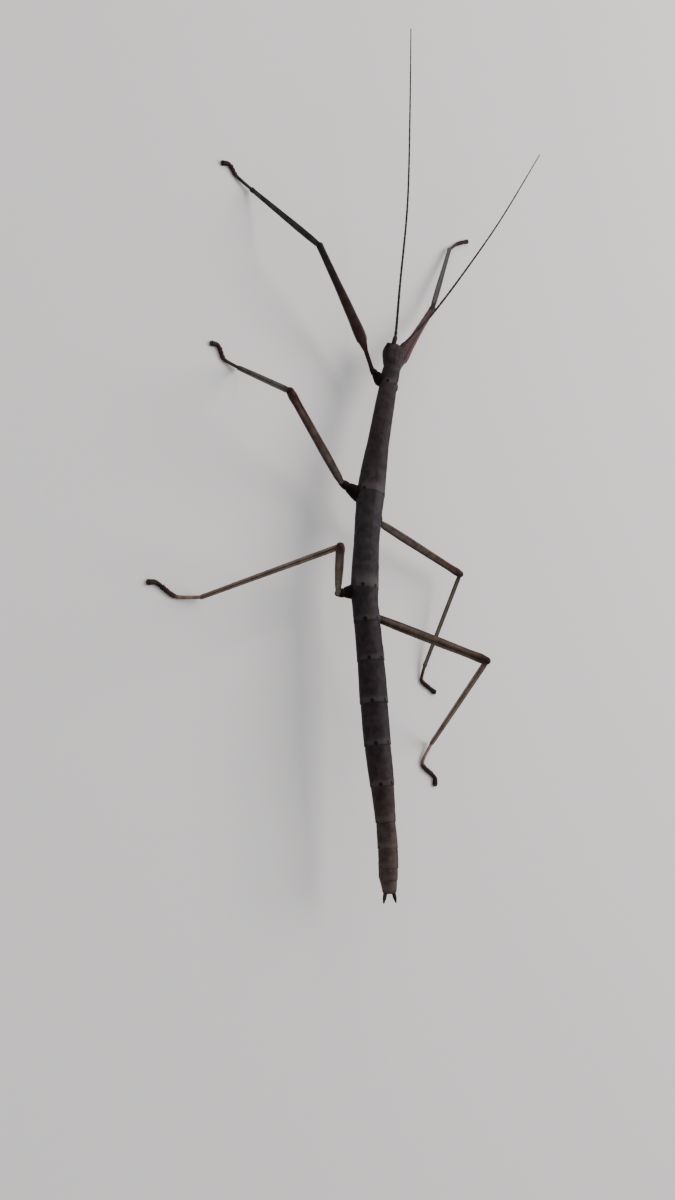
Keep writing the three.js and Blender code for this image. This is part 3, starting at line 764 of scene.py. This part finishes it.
legPlan = {
    "fore": {
        "segment": "prothorax", "fromHindEnd": 1.0, "across": 1.2, "drop": 0.7,
        "coxa": 2.0, "coxaGirth": 0.84, "femur": 20.2, "tibia": 16.0, "basitarsus": 3.05, "tarsus": 2.0, "toe": 1.2,
        "bow": 0.55, "ridgeTurn": 0.0,
        "femurLines": (0.5, 0.1), "tibiaLines": (0.6, 0.0),
        "femurRows": [(0, 0.36, 0.42), (0.06, 0.33, 0.4), (0.15, 0.34, 0.42), (0.21, 0.6, 0.66), (0.25, 0.9, 0.9),
                      (0.3, 0.94, 0.95), (0.45, 0.8, 0.84), (0.75, 0.6, 0.66), (0.94, 0.54, 0.6), (1, 0.56, 0.54)],
        "tibiaRows": [(0, 0.44, 0.46), (0.03, 0.42, 0.46), (0.1, 0.48, 0.52), (0.3, 0.5, 0.54), (0.65, 0.42, 0.46),
                      (0.96, 0.38, 0.38), (1, 0.4, 0.4)],
    },
    "middle": {
        "segment": "mesothorax", "fromHindEnd": -0.1, "across": 1.45, "drop": 0.9,
        "coxa": 3.3, "coxaGirth": 1.0, "femur": 18.86, "tibia": 16.2, "basitarsus": 2.5, "tarsus": 2.2, "toe": 1.1,
        "bow": 0, "ridgeTurn": 0.0,
        "femurLines": (0.6, 0.4), "tibiaLines": (0.75, 0.35),
        "femurRows": [(0, 0.42, 0.45), (0.03, 0.52, 0.56), (0.08, 0.62, 0.66), (0.3, 0.68, 0.72), (0.6, 0.64, 0.68),
                      (0.86, 0.61, 0.65), (0.95, 0.68, 0.7), (1, 0.56, 0.56)],
        "tibiaRows": [(0, 0.4, 0.42), (0.03, 0.34, 0.36), (0.07, 0.37, 0.41), (0.5, 0.36, 0.4), (0.96, 0.33, 0.36),
                      (1, 0.36, 0.36)],
    },
    "hind": {
        "segment": "metathorax", "fromHindEnd": -0.2, "across": 1.0, "drop": 0.9,
        "coxa": 2.85, "coxaGirth": 1.0, "femur": 19.2, "tibia": 23.1, "basitarsus": 3.75, "tarsus": 3.4, "toe": 1.1,
        "bow": 0, "ridgeTurn": math.pi / 4,
        "femurLines": (0.6, 0.35), "tibiaLines": (0.8, 0.5),
        "femurRows": [(0, 0.4, 0.36), (0.03, 0.48, 0.38), (0.08, 0.66, 0.43), (0.3, 0.74, 0.56), (0.6, 0.68, 0.64),
                      (0.86, 0.59, 0.62), (0.95, 0.66, 0.68), (1, 0.54, 0.54)],
        "tibiaRows": [(0, 0.4, 0.42), (0.025, 0.34, 0.36), (0.06, 0.36, 0.39), (0.5, 0.34, 0.38), (0.97, 0.31, 0.34),
                      (1, 0.34, 0.34)],
    },
    "coxaRows": [(0, 1.22, 1.22), (0.2, 1.1, 1.12), (0.4, 0.94, 0.94), (0.55, 0.82, 0.8), (0.62, 0.72, 0.7),
                 (0.66, 0.62, 0.6), (0.74, 0.7, 0.66), (0.86, 0.66, 0.62), (1, 0.5, 0.5)],
    "coxaLift": -10, "ankleHeight": 0.75, "soleHeight": 0.3, "spacing": 0.2, "sides": 32,
    "ridgeHeight": 0.07,
}
footPlan = {
    # half width of each toe joint at its root and tip
    "joints": [(0.25, 0.27), (0.33, 0.37), (0.33, 0.38), (0.33, 0.39), (0.3, 0.42)],
    "shortJointEnds": (0.2, 0.38, 0.54),  # shares of the foot beyond its long first joint
    "claw": {"back": 0.3, "half": 0.14, "pad": (0.36, 0.36, 0.26), "padAhead": -0.02, "padUp": -0.02,
             "hook": [(0.34, 46, 10), (0.26, 22, -8), (0.2, -4, -40)]},
}
# headings of each joint from straight ahead out to the leg's own side, and the femur's lift;
# pale is how far the thigh and the shin of that leg go to their lighter colour: a painted highlight, stronger on the
# right legs, which face the light, than on the shaded left ones
stance = [
    ("left", "fore", {"coxa": 45, "femur": 44.4, "lift": 12, "tibia": 33.3, "basitarsus": 62, "tarsus": 43,
                      "toe": 105, "pale": (0.0, 0.0)}),
    ("right", "fore", {"coxa": 28, "femur": 29, "lift": -7, "tibia": 20.5, "basitarsus": 43, "tarsus": 55,
                       "toe": 60, "pale": (0.57, 0.46)}),
    ("left", "middle", {"coxa": 66, "femur": 66.4, "lift": 27.4, "tibia": 3.5, "basitarsus": 73.5, "tarsus": 30,
                        "toe": 90, "pale": (0.0, 0.0)}),
    ("right", "middle", {"coxa": 152, "femur": 102.9, "lift": -5.1, "tibia": 195.8, "basitarsus": 189,
                         "tarsus": 118, "toe": 116, "pale": (0.05, 0.35)}),
    ("left", "hind", {"coxa": 104, "femur": 84.3, "lift": 54.4, "tibia": 117.8, "basitarsus": 99.5, "tarsus": 64,
                      "toe": 98, "pale": (0.1, 0.26)}),
    ("right", "hind", {"coxa": 173, "femur": 123.4, "lift": 46.6, "tibia": 142.5, "basitarsus": 207,
                       "tarsus": 124, "toe": 172, "pale": (0.1, 0.5)}),
]


def fromRidge(angle, ridgeTurn):
    # angle to the nearest of a limb's four keels
    return abs((angle - ridgeTurn + math.pi / 4) % (math.pi / 2) - math.pi / 4)


def limbRelief(seed, length, ridgeTurn):
    # four keels run along the limb and fade out at its knobs
    def relief(distance, angle):
        spot = Vector((distance * 1.8 + seed, math.sin(angle) * 0.9, math.cos(angle) * 0.9))
        inside = easeUp(distance, 0.0, 0.8) * easeUp(length - distance, 0.0, 0.8)
        keels = legPlan["ridgeHeight"] * (bell(fromRidge(angle, ridgeTurn), 0.22) - 0.5)
        return inside * keels + 0.02 * noise.noise(spot * 1.7)
    return relief


def limbPaint(seed, lines, ridgeTurn, pale, kneeAt, kneeWidth):
    # dark lines along the keels, patchy pale faces between them, a dark knee, and pale, a painted highlight over the
    # whole limb
    keelDark, facePale = lines

    def paint(distance, angle):
        nearest = fromRidge(angle, ridgeTurn)
        patch = 0.6 + 1.3 * noise.noise(Vector((distance * 0.45 + seed, 3.0, seed)))
        knee = bell(distance - kneeAt, kneeWidth)
        # subtracting pale paints the limb lighter, as a highlight on legs that face the light
        plain = keelDark * bell(nearest, 0.24) - facePale * patch * bell(nearest - math.pi / 4, 0.3) - pale
        return plain * (1 - knee) + 0.42 * knee
    return paint


def tarsusStations(path, share):
    # five toe joints: a long thin first one, three short thick ones and a longer last one
    ends = [share, *(share + end * (1 - share) for end in footPlan["shortJointEnds"]), 1.0]
    stations = []
    count = round(path.length / 0.06)
    for i in range(count + 1):
        place = i / count
        joint = sum(place > end for end in ends[:-1])
        start = ends[joint - 1] if joint else 0.0
        within = (place - start) / (ends[joint] - start)
        root, tip = footPlan["joints"][joint]
        size = root + (tip - root) * within ** 1.5
        size -= 0.09 * bell(within * (ends[joint] - start) * path.length, 0.09) * (place > 0.05)
        stations.append((place * path.length, size, size * 0.95))
    return stations


def buildClaws(name, tip, heading):
    # a round pad between two hooked claws
    plan = footPlan["claw"]
    bm = bmesh.new()
    for side in (-1, 1):
        turns = [(length, heading + side * turn, lift) for length, turn, lift in plan["hook"]]
        path = Path(smoothLine(walk(tip - stepBy(plan["back"], heading, 0), turns), 6))
        halves = [plan["half"] * (1 - i / 15) for i in range(15)]
        stations = [(path.length * i / 14, half, half) for i, half in enumerate(halves)]
        sweep(bm, path, stations, 12, None, lambda distance, angle: 0.8)
    pad = bmesh.ops.create_uvsphere(bm, u_segments=20, v_segments=12, radius=1.0)["verts"]
    bmesh.ops.scale(bm, vec=plan["pad"], verts=pad)
    padSpot = tip + stepBy(plan["padAhead"], heading, 0) + Vector((0, 0, plan["padUp"]))
    bmesh.ops.translate(bm, verts=pad, vec=padSpot)
    finishPiece(name + "_claws", bm, clawCuticle)


def buildLeg(side, pairName, pose):
    sign = -1 if side == "left" else 1
    plan = legPlan[pairName]
    name = f"{side}_{pairName}"
    root = spine.beside(hindEnds[plan["segment"]] + plan["fromHindEnd"], sign * plan["across"], -plan["drop"])
    base = root + stepBy(plan["coxa"], sign * pose["coxa"], legPlan["coxaLift"])
    knee = base + stepBy(plan["femur"], sign * pose["femur"], pose["lift"])
    shinLift = math.degrees(math.asin((legPlan["ankleHeight"] - knee.z) / plan["tibia"]))
    ankle = knee + stepBy(plan["tibia"], sign * pose["tibia"], shinLift)
    footLift = math.degrees(math.asin((legPlan["soleHeight"] - legPlan["ankleHeight"]) / plan["basitarsus"]))
    heel = ankle + stepBy(plan["basitarsus"], sign * pose["basitarsus"], footLift)
    ball = heel + stepBy(plan["tarsus"], sign * pose["tarsus"], 0)
    tip = ball + stepBy(plan["toe"], sign * pose["toe"], 0)

    hip = Path([root, base])
    along = knee - base
    across = along.cross(Vector((0, 0, 1))).normalized()
    bend = base + along * 0.3 - across * sign * plan["bow"]
    thigh = Path(smoothLine([base, bend, knee]) if plan["bow"] else [base, knee])
    shin = Path([knee, ankle])
    sole = Path(smoothLine([ankle, ankle.lerp(heel, 0.82), heel.lerp(ball, 0.15), ball, tip]))
    spacing, sides = legPlan["spacing"], legPlan["sides"]

    bm = bmesh.new()
    rows = [(place, *(half * plan["coxaGirth"] for half in halves)) for place, *halves in legPlan["coxaRows"]]
    sweep(bm, hip, domedStations(rows, hip.length, 0.1), sides, None,
          lambda distance, angle: 0.5 * bell(distance / hip.length - 0.67, 0.05))
    finishPiece(name + "_hip", bm, coxaCuticle, [name + "_coxa"])

    thighLook, shinLook, footLook = legCuticle[pairName]
    seed = stance.index((side, pairName, pose)) * 7.3

    bm = bmesh.new()
    sweep(bm, thigh, domedStations(plan["femurRows"], thigh.length, spacing), sides,
          limbRelief(seed, thigh.length, plan["ridgeTurn"]),
          limbPaint(seed, plan["femurLines"], plan["ridgeTurn"], pose["pale"][0], thigh.length, 1.1))
    finishPiece(name + "_thigh", bm, thighLook, [name + "_femur"])

    bm = bmesh.new()
    sweep(bm, shin, domedStations(plan["tibiaRows"], shin.length, spacing), sides,
          limbRelief(seed + 3, shin.length, 0.0),
          limbPaint(seed + 3, plan["tibiaLines"], 0.0, pose["pale"][1], 0.0, 0.8))
    finishPiece(name + "_shin", bm, shinLook, [name + "_tibia"])

    bm = bmesh.new()
    share = plan["basitarsus"] / (plan["basitarsus"] + plan["tarsus"] + plan["toe"])
    sweep(bm, sole, tarsusStations(sole, share), 24)
    finishPiece(name + "_foot", bm, footLook, [name + "_tarsus"])
    buildClaws(name, tip, sign * pose["toe"])


for side, pairName, pose in stance:
    buildLeg(side, pairName, pose)
print("legs are built")


tailPlan = {
    "cercus": {"across": 0.72, "length": 1.3, "half": 0.29, "spread": 15},
    "operculum": {"length": 4.6, "drop": 1.2918, "half": (0.52, 0.74, 0.42)},
}
mouthPlan = {
    # ellipsoids on the head: place, across (0 for a single one), up, half sizes across, along and up, shade
    "lumps": [
        (0.84, 0.0, -0.72, (0.8, 0.74, 0.7), 0.0),
        (0.975, 0.0, -0.32, (0.54, 0.2, 0.26), 0.4),
        (0.99, 0.16, -0.66, (0.27, 0.18, 0.29), 0.75),
        (0.95, 0.44, -0.93, (0.32, 0.35, 0.34), 0.2),
        (0.88, 0.20, -1.20, (0.27, 0.48, 0.3), 0.5),
    ],
    "palps": [
        {"across": 0.48, "place": 0.9, "up": -1.0, "length": 1.05, "heading": 4, "lift": -50, "half": 0.16},
        {"across": 0.2, "place": 0.93, "up": -1.3, "length": 0.62, "heading": 6, "lift": -35, "half": 0.1},
    ],
    # share of the half width along a palp of three joints
    "palpRows": [(0, 0.9), (0.22, 1.05), (0.3, 1.0), (0.335, 0.7), (0.38, 0.95), (0.58, 1.1), (0.63, 1.0),
                 (0.665, 0.7), (0.71, 0.95), (0.88, 0.95), (1, 0.6)],
}


def buildTail():
    plan = tailPlan["cercus"]
    heading = segments[-1][2]
    for name, side in (("left", -1), ("right", 1)):
        root = spine.beside(0.0, side * plan["across"], 0)
        way = stepBy(plan["length"], heading - side * plan["spread"], bodyPlan["lift"])
        path = Path([root - way, root + way * 0.3])
        half = plan["half"]
        rows = [(0, half * 0.45, half * 0.45), (0.35, half * 0.9, half * 0.9), (1, half * 1.1, half * 1.1)]
        bm = bmesh.new()
        sweep(bm, path, domedStations(rows, path.length, 0.08), 24)
        finishPiece("tail_feeler_" + name, bm, bodyCuticle, ["cercus_" + name])

    flap = tailPlan["operculum"]
    tip, belly, root = flap["half"]
    below = Vector((0, 0, flap["drop"]))
    line = [spine.at(0.8 + flap["length"] * i / 12) - below for i in range(13)]
    rows = [(0, tip * 0.7, 0.1), (0.3, belly, 0.24), (0.7, belly, 0.26), (1, root, 0.16)]
    path = Path(line)
    bm = bmesh.new()
    sweep(bm, path, domedStations(rows, path.length, 0.12, 0.6, 0.6), 32)
    finishPiece("egg_flap", bm, bodyCuticle, ["operculum"])


def buildMouth():
    # shield, upper lip in two lobes, jaws, lower lip and two pairs of palps on a base block
    headStart, headLength = hindEnds["head"], segments[0][1]
    bm = bmesh.new()
    lengthwise = bm.verts.layers.float.new("lengthwise")
    for place, offset, up, sizes, shade in mouthPlan["lumps"]:
        for side in ((-1, 1) if offset else (0,)):
            centre, across, above, along = spine.frameAt(headStart + place * headLength)
            turn = Matrix((across, along, above)).transposed().to_4x4()
            turn.translation = centre + across * side * offset + above * up
            lump = bmesh.ops.create_uvsphere(bm, u_segments=36, v_segments=24, radius=1.0)["verts"]
            bmesh.ops.transform(bm, matrix=turn @ Matrix.Diagonal((*sizes, 1.0)), verts=lump)
            for vert in lump:
                vert[lengthwise] = shade
    for palp in mouthPlan["palps"]:
        for side in (-1, 1):
            root = spine.beside(headStart + palp["place"] * headLength, side * palp["across"], palp["up"])
            stretches = [(palp["length"] / 2, palp["heading"] * side, 0), (palp["length"] / 2, 0, palp["lift"])]
            path = Path(smoothLine(walk(root, stretches)))
            rows = [(place, palp["half"] * share, palp["half"] * share) for place, share in mouthPlan["palpRows"]]
            sweep(bm, path, domedStations(rows, path.length, 0.03), 20)
    finishPiece("mouthparts", bm, mouthCuticle)


buildTail()
buildMouth()
print("tail and mouth are built")
